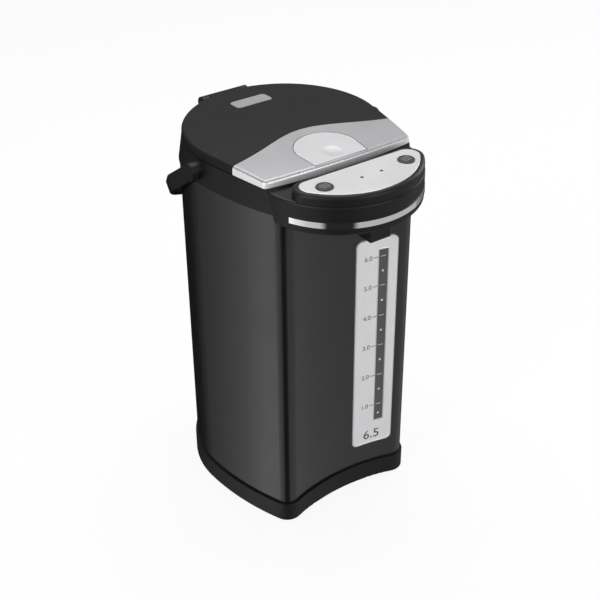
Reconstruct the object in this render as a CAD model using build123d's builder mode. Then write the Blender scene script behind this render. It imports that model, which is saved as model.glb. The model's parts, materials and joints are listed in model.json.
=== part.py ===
"""Electric thermo pot: a water boiler with a pump, a spout, a hinged lid and a carrying bail.

Millimetres, +Z up. The front (spout) faces -Y and +X is on the right seen from the front.
The origin is the bottom centre of the whole pot's box, where the rubber feet stand.
Heights are measured from the surface that the feet stand on, and distances in Y from the
axis of the round water pot, which lies at Y = body_y.
"""
import os
from math import cos, radians, sin, sqrt

from build123d import *

os.makedirs("parts", exist_ok=True)

# ---------------------------------------------------------------- body and base
body_radius = 99.2         # round back of the steel body
side_turn = 1.7            # degrees past the widest point where the round back ends
corner_x = 72.7            # front corners, before they are rounded
corner_y = -111.1
front_y = -97.7            # deepest point of the hollow front
corner_round = 13.3
steel = 0.8                # painted body sheet
body_height = 335.9        # of the body sheet
base_bottom = 0.6
base_height = 21.4
base_flare = 2.2           # base stands proud of the body
base_wall = 3.1
base_edge = 1.2
rebate = 3.0               # depth of the body sheet in the base
fit_gap = 0.2              # between parts that are slipped together
run_clear = 0.05           # round pins and pipes that turn or slide
cover_recess = 0.8         # of the bottom cover in the base
cover_sheet = 2.4          # bottom cover
flange_reach = 10.0        # inner flange that the bottom cover is screwed to
foot_radius = 8.0
foot_chamfer = 0.4
feet_at = [(-66, -80), (66, -80), (-58, 58), (58, 58)]
screws_at = [(-90, 30), (90, 30), (-63.5, -99.5), (63.5, -99.5)]
screw_radius = 1.6
screw_head = 3.2
screw_length = 6.0
vents_at = (-30, 14)
vent_length = 26.0
vent_width = 3.0
vent_bar = 5.0             # between the vents
vent_rows = 5

# ---------------------------------------------------------------- water pot
pot_radius = 93.4          # inside
pot_sheet = 0.6
pot_floor = 68.7           # inside
pot_drop = 7.5             # rim of the pot below the top of the body sheet
pot_flange = 3.0           # width of its rim
pot_round = 10.0
seal_height = 1.5
jacket_sheet = 2.2
jacket_inset = 8.0         # from the pot's rim
jacket_start = 13.3        # above the pot's floor
heater_radius = 48.0
heater_plate = 3.0
heater_tube = 3.6
heater_ring = 38.0
heater_sunk = 0.8
cutout_radius = 9.0        # thermostat
cutout_height = 6.0
cutout_cap = 5.0
cutout_tabs = 12.0
cutout_sheet = 1.0

# ---------------------------------------------------------------- collar, head and spout
collar_height = 22.0
collar_proud = 0.8
collar_wall = 2.5
lid_proud = 0.6            # of the collar round the lid
deck = 3.0
lip_wall = 2.0             # collar's lip in the body sheet
lip_root = 1.0
lip_front = -95.0          # where the lip ends, behind the hollow front
throat_radius = 82.0
throat_wall = 2.5
head_radius = 80.2
head_y = -84.7             # axis of the round head
head_drop = 1.9            # top of the head below the top of the collar
skirt_drop = 8.3           # bottom of the head below the top of the body sheet
head_floor = 2.5
head_edge = 2.5
head_lower_edge = 3.1
head_back = -64.7          # where the round head ends, inside the collar
head_wall = 2.5
skirt_back = -99.5         # where the head's skirt ends on the body's sides
skirt_round = 7.0
cover_gap = 8.3            # between the lid and the head's cover
cover_corner = 15.0
cover_height = 9.5
cover_wall = 2.4
cover_edge = 3.8
cover_inset = 0.5
cover_ledge = 4.0          # that the cover rests on, all round the opening for the board
panel_radius = 75.3
panel_back = -110.0
panel_corner = 11.0
panel_sheet = 1.7
panel_sunk = 1.3
panel_edge = 0.6
trim_rise = 7.4            # bright strip above the bottom of the head
trim_height = 5.6
trim_back = -116.8         # where the bright strip ends on both sides
trim_sunk = 0.8
trim_proud = 0.5
button_radius = 8.0
button_x = 44.8
button_y = -128.8
button_rise = 1.2
button_travel = 1.5
button_edge = 1.0
button_rim = 1.4
button_collar = 1.2
button_stem = 2.5
switch_height = 2.6
switch_radius = 2.4
pad_base = 7.0             # rubber dome under each key
pad_top = 5.0
pad_wall = 1.4
lamp_radius = 1.6
lamp_middle = 3.0
lamp_spread = 10.8
lamp_y = -132.7
lamp_rise = 0.3
lamp_gap = 0.1
board_sheet = 1.6
board_drop = 2.5           # control board below the top of the head
board_size = (104.0, 22.0)
board_y = -126.0
board_posts = (47.5, 7.0)  # from the middle of the control board
post_radius = 3.5
spout_half = 11.5
spout_front = -152.0
spout_back = -112.0
spout_height = 17.5
spout_wall = 1.8
spout_round = 1.5
nozzle_y = -140.0
nozzle_radius = 6.0
nozzle_bore = 4.0
nozzle_drop = 14.5         # below the bottom of the head
nozzle_flange = 2.0
nozzle_brim = 2.5
nozzle_seat = 3.0
nozzle_edge = 0.5

# ---------------------------------------------------------------- gauge
gauge_x = 36.4             # the gauge stands right of the middle, beside the round pot
gauge_half = 22.0
gauge_low = 47.5
gauge_height = 247.5
gauge_sheet = 0.9
gauge_round = 6.0
slot_x = 43.8
slot_half = 4.8
slot_low = 76.5
slot_height = 205.2
window_sunk = 0.3
window_gap = 0.05
tube_radius = 4.5
tube_gap = 0.5             # between the tube and the body sheet
tube_bore = 3.2
tube_low = 72.0
tube_drop = 9.5            # below the top of the body sheet

# ---------------------------------------------------------------- lid
lid_radius = 95.9
lid_side_turn = 9
lid_corner_x = 80.8
lid_corner_y = -90.5
lid_front_y = -96.2
lid_corner_round = 4.5
lid_seam = 0.4             # between the collar and the lid
lid_height = 11.7
lid_sphere = 1500.0
lid_wall = 2.4
lid_edge = 3.6
plug_radius = 78.0
plug_wall = 2.0
plug_depth = 14.9          # below the top of the collar
chassis_sheet = 2.0
liner_sheet = 0.6
liner_lift = 10.0
seal_gap = 0.4             # between the seal's edge and the throat
seal_rise = 4.0            # above the plug's bottom
seal_size = 4.0
seal_wall = 1.4
seal_slope = 0.9
wave_end_y = -56.0         # far outside the lid
wave_mid_y = -41.0
wave_mid_x = 50.0
wave_crest_y = -27.8
wave_gap = 0.15
lever_half = 31.6
lever_side_y = -68.0       # where its round back begins
lever_back = -40.5
lever_front = -93.3
lever_front_half = 29.3
lever_gap = 0.6
lever_wall = 1.8
dimple_radius = 9.6
dimple_y = -81.5
dimple_depth = 1.0
lever_pin_y = -47.0
lever_pin_radius = 1.5
lever_barrel = 2.6
lever_pin_half = 17.0
lug_width = 3.4            # ears that carry the lever's pin
lug_depth = 6.0
lug_rise = 1.9
lever_leg = (-82.0, -79.0)
leg_width = 10.0
leg_lift = 2.3             # of the leg above the bolt, at rest
cam_gap = 0.2              # between the leg and the ramp on the bolt
cam_width = 8.0
press_angle = 3.5          # degrees that the lever turns
hook_half = 9.0
catch_front = -92.2        # edge of the collar's catch slot that the hook bears on
catch_back = -85.6
hook_thick = 2.4
hook_lip = 1.3
hook_play = 0.5            # round the hook in the chassis
catch_side = 2.0           # and on both sides of it in the collar
bolt_travel = 3.0
bolt_back = -62.0
bolt_sheet = 1.6
spring_radius = 1.8
spring_wire = 0.25
spring_turns = 6
spring_length = 9.4
rail_width = 2.0           # rails that guide the bolt
rail_length = 20.0
rail_y = -74.0
stop_sheet = 2.0
badge_half_x = 20.1
badge_half_y = 8.6
badge_round = 4.0
badge_y = 54.8
badge_sheet = 0.8
badge_sunk = 0.4
badge_gap = 0.1

# ---------------------------------------------------------------- lid hinge and bail
hinge_back = 6.3           # hinge axis behind the body
hinge_drop = 2.9           # and below the top of the collar
hinge_radius = 7.0
hinge_half = 26.5
lug_half = 17.6
ear_gap = 0.4
ear_wall = 4.0
ear_rise = 8.0
tab_rise = 5.5             # of the lid's hinge tab
hinge_pin_radius = 2.5
bail_y = -5.0
bail_drop = 10.1           # bail's axis below the top of the collar
bail_droop = 35            # degrees below level when it hangs behind the pot
bail_gap = 1.6             # between the body and the arms
bail_thick = 7.0
bail_width = 16.0
bail_clear = 2.0
bail_elbow_v = 46.0
bail_shoulder = (84.0, 98.0)
bail_grip_x = 50.0
bail_bends = (8, 90, 40, 40, 90, 8)
bail_edge = 3.0
boss_radius = 8.5
boss_overlap = 3.0         # root of each boss inside the collar
boss_gap = 0.4             # between each boss and its arm
pivot_radius = 4.0
pivot_cap = 2.6            # closes the outer end of its hole

# ---------------------------------------------------------------- pump and electrics
pump_y = -52.0
motor_radius = 16.0
motor_height = 27.0
motor_plate = 2.0
motor_seat = 3.0
shaft_radius = 1.5
shaft_sunk = 4.0
magnet_radius = 13.0
magnet_height = 4.0
magnet_gap = 1.5
pump_radius = 23.0
pump_wall = 2.0
pump_cup = 9.0             # floor of the chamber above the motor
chamber_height = 10.0
pump_lid = 3.0
impeller_radius = 18.5
impeller_disc = 1.6
impeller_hub = 5.0
impeller_blades = 7
blade_height = 5.2
blade_rise = 2.4           # of the blades above the floor of the chamber
hub_sunk = 1.2
blade_middle = 11.5
blade_length = 14.0
blade_sheet = 1.8
blade_slant = 35
spigot_radius = 4.5
spigot_bore = 3.0
spigot_end = -82.0
spigot_length = 7.0        # upright spigots of the pump and the pot
sleeve_wall = 1.8
hose_bend = 9.0
head_bend = 7.0
hose_rise = 12.0           # hose in the head above its floor
inlet_half_x = 17.0
inlet_low = 36.0
inlet_high = 60.0
inlet_proud = 2.0
inlet_depth = 15.0
inlet_wall = 2.5
inlet_round = 2.0
pins_at = [(-7, -2.5), (7, -2.5), (0, 4)]
pin_radius = 1.9
pin_length = 7.0
pin_tail = 3.0
pcb_size = (70.0, 48.0)
pcb_at = (-38.0, 14.0)
pcb_rise = 10.0            # above the bottom cover
pcb_posts = (31.0, 20.0)
relay_size = (26.0, 22.0, 18.0)
relay_at = (-18.0, 8.0)
coil_size = (19.0, 15.0, 14.0)
coil_at = (14.0, 12.0)
cans = [(5.0, 15.0, 2.0, -14.0), (4.0, 11.0, 16.0, -14.0)]   # radius, height, x, y
chips = [(14.0, 9.0, 3.0, -24.0, 4.0), (8.0, 8.0, 2.5, 27.0, 3.0)]  # size, height, x, y

# ---------------------------------------------------------------- heights that follow
base_top = base_bottom + base_height
shell_low = base_top - rebate
shell_top = shell_low + body_height
cover_floor = base_bottom + cover_recess
cover_inside = cover_floor + cover_sheet
pot_top = shell_top - pot_drop
pot_under = pot_floor - pot_sheet
heater_low = pot_under - heater_plate
seal_top = pot_top + seal_height
jacket_bottom = pot_floor + jacket_start
jacket_top = pot_top - jacket_inset
collar_top = shell_top + collar_height
head_top = collar_top - head_drop
head_bottom = shell_top - skirt_drop
floor_top = head_bottom + head_floor
hose_z = floor_top + hose_rise
cover_top = head_top + cover_height
panel_low = cover_top - panel_sunk
panel_top = panel_low + panel_sheet
trim_low = head_bottom + trim_rise
trim_high = trim_low + trim_height
board_top = head_top - board_drop
board_high = board_top + board_sheet
switch_top = board_high + switch_height
rim_top = cover_top - cover_wall - 2 * fit_gap
rim_low = rim_top - button_rim
spout_bottom = head_bottom - spout_height
nozzle_bottom = head_bottom - nozzle_drop
gauge_high = gauge_low + gauge_height
slot_high = slot_low + slot_height
tube_high = shell_top - tube_drop
lid_bottom = collar_top + lid_seam
lid_crown = lid_bottom + lid_height
dome_centre = lid_crown - lid_sphere
chassis_low = lid_bottom + fit_gap
chassis_top = chassis_low + chassis_sheet
plug_bottom = collar_top - plug_depth
seal_low = plug_bottom + seal_rise
lever_surface = dome_centre + sqrt(lid_sphere ** 2 - lever_pin_y ** 2)
lever_pin_z = lever_surface - lever_wall + fit_gap - lever_barrel
dimple_surface = dome_centre + sqrt(lid_sphere ** 2 - dimple_y ** 2)
hook_bottom = collar_top - deck - hook_lip
bolt_low = chassis_top + run_clear
bolt_top = bolt_low + bolt_sheet
leg_low = bolt_top + leg_lift
leg_sink = (lever_pin_y - lever_leg[1]) * sin(radians(press_angle))
cam_top = leg_low - cam_gap
spring_z = chassis_top + spring_radius + 2 * spring_wire
tab_high = lid_bottom + tab_rise
hinge_z = collar_top - hinge_drop
bail_z = collar_top - bail_drop
motor_top = cover_inside + motor_height
magnet_low = motor_top + magnet_gap
magnet_high = magnet_low + magnet_height
chamber_low = motor_top + pump_cup
chamber_high = chamber_low + chamber_height
spigot_z = (chamber_low + chamber_high) / 2
pump_top = chamber_high + pump_lid
suction_top = pump_top + spigot_length
nipple_low = pot_under - spigot_length
pcb_z = cover_inside + pcb_rise
pcb_top = pcb_z + board_sheet
blade_low = chamber_low + blade_rise
hub_top = chamber_high - hub_sunk
ear_low = shell_top + ear_rise - fit_gap
inlet_middle = (inlet_low + inlet_high) / 2

# ---------------------------------------------------------------- places that follow
droop_cos = cos(radians(bail_droop))
droop_sin = sin(radians(bail_droop))
half_width = bail_width / 2
grip_v = (body_radius - bail_y + bail_clear + half_width * droop_sin) / droop_cos + bail_thick / 2
bail_reach = (bail_y + (grip_v + bail_thick / 2 - bail_edge) * droop_cos
              + (half_width - bail_edge) * droop_sin + bail_edge)
head_reach = head_radius + trim_proud - head_y
body_y = (head_reach - bail_reach) / 2
bail_inner = body_radius + bail_gap
bail_outer = bail_inner + bail_thick
arm_x = bail_inner + bail_thick / 2
boss_end = bail_inner - boss_gap
pivot_end = bail_outer - pivot_cap
pot_outside = pot_radius + pot_sheet
rim_radius = pot_radius + pot_flange
jacket_inside = pot_outside + fit_gap
front_radius = (corner_x ** 2 + (front_y - corner_y) ** 2) / (2 * (front_y - corner_y))
slot_front = front_y - front_radius + sqrt(front_radius ** 2 - slot_x ** 2)
tube_y = slot_front + steel + tube_gap + tube_radius
cover_back = lid_front_y - cover_gap
hook_front = catch_front + fit_gap
hook_back = hook_front + hook_thick
hinge_y = body_radius + hinge_back
inlet_back = body_radius + inlet_proud
inlet_floor_y = inlet_back - inlet_depth
pump_at = (slot_x, pump_y)
liner_outer = plug_radius + run_clear + liner_sheet
seal_reach = throat_radius - seal_gap
spring_end = bolt_back + spring_length
cam_foot = lever_leg[1] - (cam_top - bolt_top) * bolt_travel / leg_sink
cam_back = lever_leg[1] + cam_gap
ear_root = lid_radius - ear_wall
boss_root = lid_radius - boss_overlap
pivot_root = lid_radius - 2 * boss_overlap
body_width = 2 * body_radius


def level(z):
    """Horizontal plane at height z, with its origin on the axis of the water pot."""
    return Plane(origin=(0, body_y, z))


def side(x=0):
    """Upright plane across X: its first direction is +Y from the pot's axis, its second height."""
    return Plane(origin=(x, body_y, 0), x_dir=(0, 1, 0), z_dir=(1, 0, 0))


def front(y):
    """Upright plane facing the front, at a distance y from the pot's axis."""
    return Plane(origin=(0, body_y + y, 0), x_dir=(1, 0, 0), z_dir=(0, -1, 0))


def finish(builder, name):
    """Names a finished piece and writes it."""
    builder.part.label = name
    export_step(builder.part, f"parts/{name}.step")


def d_plan(radius, turn, corner, middle_y, rounding):
    """Round back, bowed sides and a curved front between two rounded corners."""
    x, y = corner
    tangent_x = radius * cos(radians(turn))
    tangent_y = -radius * sin(radians(turn))
    with BuildSketch() as plan:
        with BuildLine():
            ThreePointArc((tangent_x, tangent_y), (0, radius), (-tangent_x, tangent_y))
            TangentArc((tangent_x, tangent_y), (x, y), tangent=(tangent_y, -tangent_x))
            TangentArc((-tangent_x, tangent_y), (-x, y), tangent=(-tangent_y, -tangent_x))
            ThreePointArc((x, y), (0, middle_y), (-x, y))
        make_face()
        corners = plan.vertices().filter_by_position(Axis.Y, y - 1, y + 1)
        fillet(corners, rounding)
    return plan.sketch


body_plan = d_plan(body_radius, side_turn, (corner_x, corner_y), front_y, corner_round)
lid_plan = d_plan(lid_radius, lid_side_turn, (lid_corner_x, lid_corner_y), lid_front_y,
                  lid_corner_round)


def grown(plan, amount):
    """A plan outline grown, or shrunk by a negative amount, all round.

    The outline's lines and arcs run smoothly into each other, so each moves along its normals.
    """
    middle = plan.bounding_box().center()
    with BuildSketch() as moved:
        with BuildLine():
            for edge in plan.edges():
                points = []
                for place in (0, 0.5, 1):
                    normal = (edge % place).cross(Vector(0, 0, 1))
                    if normal.dot(edge @ place - middle) < 0:
                        normal = -normal
                    points.append(edge @ place + normal * amount)
                if edge.geom_type == GeomType.LINE:
                    Line(points[0], points[2])
                else:
                    ThreePointArc(*points)
        make_face()
    return moved.sketch


def slab(plan, low, high, amount=0.0, mode=Mode.ADD):
    """An upright block of a plan outline between two heights."""
    outline = grown(plan, amount) if amount else plan
    with BuildSketch(level(low)) as profile:
        add(outline)
    extrude(profile.sketch, amount=high - low, mode=mode)


def disc(radius, low, high, at=(0, 0), mode=Mode.ADD):
    """An upright round block between two heights."""
    with BuildSketch(level(low)) as profile:
        with Locations(at):
            Circle(radius)
    extrude(profile.sketch, amount=high - low, mode=mode)


def block(size_x, size_y, low, high, at=(0, 0), mode=Mode.ADD):
    """An upright rectangular block between two heights."""
    with BuildSketch(level(low)) as profile:
        with Locations(at):
            Rectangle(size_x, size_y)
    extrude(profile.sketch, amount=high - low, mode=mode)


def rod(radius, x0, x1, y, z, mode=Mode.ADD):
    """A round bar along X."""
    with BuildSketch(side(x0)) as profile:
        with Locations((y, z)):
            Circle(radius)
    extrude(profile.sketch, amount=x1 - x0, mode=mode)


def facing(low, high, half, x, reach, mode=Mode.ADD, corner=0.0):
    """An upright block seen from the front as a rectangle, that reaches forward from the axis."""
    with BuildSketch(front(0)) as profile:
        with Locations((x, (low + high) / 2)):
            if corner:
                RectangleRounded(2 * half, high - low, corner)
            else:
                Rectangle(2 * half, high - low)
    extrude(profile.sketch, amount=reach, mode=mode)


def ahead(plan, back):
    """The part of a plan outline that lies in front of a line at y = back."""
    with BuildSketch() as cut:
        add(plan)
        with Locations((0, back + 2 * body_radius)):
            Rectangle(4 * body_radius, 4 * body_radius, mode=Mode.SUBTRACT)
    return cut.sketch


# ================================================================ base
with BuildPart() as base_shell:
    slab(body_plan, base_bottom, base_top, base_flare)
    fillet(base_shell.faces().sort_by(Axis.Z)[0].edges(), base_edge)
    slab(body_plan, base_bottom, shell_low, base_flare - base_wall, Mode.SUBTRACT)
    slab(body_plan, shell_low, base_top, run_clear, Mode.SUBTRACT)
    slab(body_plan, cover_inside, cover_inside + cover_sheet, base_flare - base_wall)
    slab(body_plan, cover_inside, cover_inside + cover_sheet,
         base_flare - base_wall - flange_reach, Mode.SUBTRACT)
    for spot in screws_at:
        disc(screw_radius, cover_inside, cover_inside + cover_sheet, spot, Mode.SUBTRACT)
finish(base_shell, "base_shell")

with BuildPart() as base_cover:
    slab(body_plan, cover_floor, cover_inside, base_flare - base_wall - fit_gap)
    with BuildSketch(level(cover_floor)):
        with Locations(vents_at):
            with GridLocations(vent_length + vent_bar, vent_width + vent_bar, 2, vent_rows):
                SlotOverall(vent_length, vent_width)
    extrude(amount=cover_sheet, mode=Mode.SUBTRACT)
    for spot in screws_at:
        disc(screw_radius + fit_gap, cover_floor, cover_inside, spot, Mode.SUBTRACT)
    disc(motor_radius + pump_wall, cover_inside, cover_inside + motor_seat, pump_at)
    disc(motor_radius + fit_gap, cover_inside, cover_inside + motor_seat, pump_at, Mode.SUBTRACT)
    with BuildSketch(level(cover_inside)):
        with Locations(pcb_at):
            with GridLocations(2 * pcb_posts[0], 2 * pcb_posts[1], 2, 2):
                Circle(post_radius)
    extrude(amount=pcb_rise)
finish(base_cover, "base_cover")

with BuildPart() as rubber_feet:
    with BuildSketch(level(0)):
        with Locations(*feet_at):
            Circle(foot_radius)
    extrude(amount=cover_floor)
    chamfer(rubber_feet.faces().group_by(Axis.Z)[0].edges(), foot_chamfer)
finish(rubber_feet, "rubber_feet")

with BuildPart() as base_screws:
    for spot in screws_at:
        disc(screw_radius - run_clear, cover_floor, cover_floor + screw_length, spot)
        disc(screw_head, base_bottom, cover_floor, spot)
finish(base_screws, "base_screws")

# ================================================================ body sheet and gauge
with BuildPart() as outer_shell:
    slab(body_plan, shell_low, shell_top)
    slab(body_plan, shell_low, shell_top, -steel, Mode.SUBTRACT)
    facing(slot_low, slot_high, slot_half, slot_x, 2 * body_radius, Mode.SUBTRACT)
    facing(inlet_low, inlet_high, inlet_half_x, 0, -2 * body_radius, Mode.SUBTRACT)
finish(outer_shell, "outer_shell")

with BuildPart() as gauge_plate:
    slab(body_plan, gauge_low, gauge_high, gauge_sheet)
    slab(body_plan, gauge_low, gauge_high, run_clear, Mode.SUBTRACT)
    facing(gauge_low, gauge_high, gauge_half, gauge_x, 2 * body_radius, Mode.INTERSECT,
           gauge_round)
    facing(slot_low, slot_high, slot_half, slot_x, 2 * body_radius, Mode.SUBTRACT)
finish(gauge_plate, "gauge_plate")

with BuildPart() as gauge_window:
    slab(body_plan, slot_low, slot_high, gauge_sheet - window_sunk)
    slab(body_plan, slot_low, slot_high, -steel, Mode.SUBTRACT)
    facing(slot_low + window_gap, slot_high - window_gap, slot_half - window_gap, slot_x,
           2 * body_radius, Mode.INTERSECT)
finish(gauge_window, "gauge_window")

with BuildPart() as sight_tube:
    disc(tube_radius, tube_low, tube_high, (slot_x, tube_y))
    disc(tube_bore, tube_low, tube_high, (slot_x, tube_y), Mode.SUBTRACT)
finish(sight_tube, "sight_tube")

# ================================================================ water pot and heater
with BuildPart() as inner_pot:
    with BuildSketch(side()):
        with BuildLine():
            Polyline((0, pot_under), (pot_outside, pot_under), (pot_outside, pot_top - pot_sheet),
                     (rim_radius, pot_top - pot_sheet), (rim_radius, pot_top),
                     (pot_radius, pot_top), (pot_radius, pot_floor), (0, pot_floor), close=True)
        make_face()
    revolve(axis=Axis((0, body_y, 0), (0, 0, 1)))
    fillet(inner_pot.edges().filter_by(GeomType.CIRCLE).group_by(Axis.Z)[0], pot_round)
    fillet(inner_pot.edges().filter_by(GeomType.CIRCLE).filter_by_position(
        Axis.Z, pot_floor - 0.1, pot_floor + 0.1), pot_round - pot_sheet)
    disc(spigot_radius, nipple_low, pot_floor, pump_at)
    disc(spigot_bore, nipple_low, pot_floor, pump_at, Mode.SUBTRACT)
finish(inner_pot, "inner_pot")

with BuildPart() as pot_seal:
    disc(rim_radius, pot_top, pot_top + seal_height)
    disc(throat_radius + throat_wall, pot_top, pot_top + seal_height, mode=Mode.SUBTRACT)
finish(pot_seal, "pot_seal")

with BuildPart() as insulation_jacket:
    disc(jacket_inside + jacket_sheet, jacket_bottom, jacket_top)
    disc(jacket_inside, jacket_bottom, jacket_top, mode=Mode.SUBTRACT)
finish(insulation_jacket, "insulation_jacket")

with BuildPart() as heater_disc:
    disc(heater_radius, heater_low, pot_under)
    with BuildSketch(side()):
        with Locations((heater_ring, heater_low - heater_tube + heater_sunk)):
            Circle(heater_tube)
    revolve(axis=Axis((0, body_y, 0), (0, 0, 1)), revolution_arc=360)
finish(heater_disc, "heater_disc")

with BuildPart() as thermostat:
    disc(cutout_radius, heater_low - cutout_height, heater_low)
    disc(cutout_cap, heater_low - 2 * cutout_height, heater_low - cutout_height)
    block(cutout_cap, 2 * cutout_tabs, heater_low - cutout_height - cutout_sheet,
          heater_low - cutout_height)
finish(thermostat, "thermostat")

# ================================================================ pump
with BuildPart() as pump_motor:
    disc(motor_radius, cover_inside, motor_top - motor_plate, pump_at)
    disc(pump_radius, motor_top - motor_plate, motor_top, pump_at)
    disc(shaft_radius + run_clear, cover_inside + shaft_sunk, motor_top, pump_at, Mode.SUBTRACT)
finish(pump_motor, "pump_motor")

with BuildPart() as motor_rotor:
    disc(shaft_radius, cover_inside + shaft_sunk + fit_gap, magnet_low, pump_at)
    disc(magnet_radius, magnet_low, magnet_high, pump_at)
    disc(2 * shaft_radius, motor_top + run_clear, magnet_low, pump_at)
finish(motor_rotor, "motor_rotor")

with BuildPart() as pump_body:
    disc(pump_radius, motor_top, chamber_high, pump_at)
    disc(magnet_radius + magnet_gap, motor_top, chamber_low - pump_wall, pump_at, Mode.SUBTRACT)
    with BuildSketch(front(pump_y)):
        with Locations((slot_x, spigot_z)):
            Circle(spigot_radius)
    extrude(amount=pump_y - spigot_end)
    with BuildSketch(front(pump_y)):
        with Locations((slot_x, spigot_z)):
            Circle(spigot_bore)
    extrude(amount=pump_y - spigot_end, mode=Mode.SUBTRACT)
    disc(pump_radius - pump_wall, chamber_low, chamber_high, pump_at, Mode.SUBTRACT)
    disc(shaft_radius, chamber_low, hub_top, pump_at)
finish(pump_body, "pump_body")

with BuildPart() as pump_impeller:
    disc(impeller_radius, blade_low - impeller_disc, blade_low, pump_at)
    disc(impeller_hub, chamber_low + fit_gap, hub_top, pump_at)
    with BuildSketch(level(blade_low)):
        with Locations(pump_at):
            with PolarLocations(blade_middle, impeller_blades):
                SlotOverall(blade_length, blade_sheet, rotation=blade_slant)
    extrude(amount=blade_height)
    disc(shaft_radius + run_clear, chamber_low, chamber_high, pump_at, Mode.SUBTRACT)
finish(pump_impeller, "pump_impeller")

with BuildPart() as pump_cover:
    disc(pump_radius, chamber_high, pump_top, pump_at)
    disc(spigot_radius, pump_top, suction_top, pump_at)
    disc(spigot_bore, chamber_high, suction_top, pump_at, Mode.SUBTRACT)
finish(pump_cover, "pump_cover")

with BuildPart() as suction_sleeve:
    disc(spigot_radius + run_clear + sleeve_wall, pump_top, pot_under - fit_gap, pump_at)
    disc(spigot_radius + run_clear, pump_top, pot_under - fit_gap, pump_at, Mode.SUBTRACT)
finish(suction_sleeve, "suction_sleeve")


def hose(points, radius, bore, bends):
    """A round hose along straight runs joined by bends."""
    with BuildLine() as path:
        FilletPolyline(*[(x, body_y + y, z) for x, y, z in points], radius=bends)
    with BuildSketch(Plane(origin=path.line @ 0, z_dir=path.line % 0)) as section:
        Circle(radius)
        Circle(bore, mode=Mode.SUBTRACT)
    sweep(section.sketch, path=path.line)


with BuildPart() as delivery_hose:
    hose([(slot_x, spigot_end, spigot_z), (slot_x, tube_y, spigot_z), (slot_x, tube_y, tube_low)],
         spigot_radius, spigot_bore, hose_bend)
finish(delivery_hose, "delivery_hose")

with BuildPart() as spout_hose:
    hose([(slot_x, tube_y, tube_high), (slot_x, tube_y, hose_z), (0, nozzle_y, hose_z),
          (0, nozzle_y, floor_top + nozzle_flange)],
         spigot_radius, spigot_bore, head_bend)
finish(spout_hose, "spout_hose")

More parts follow.
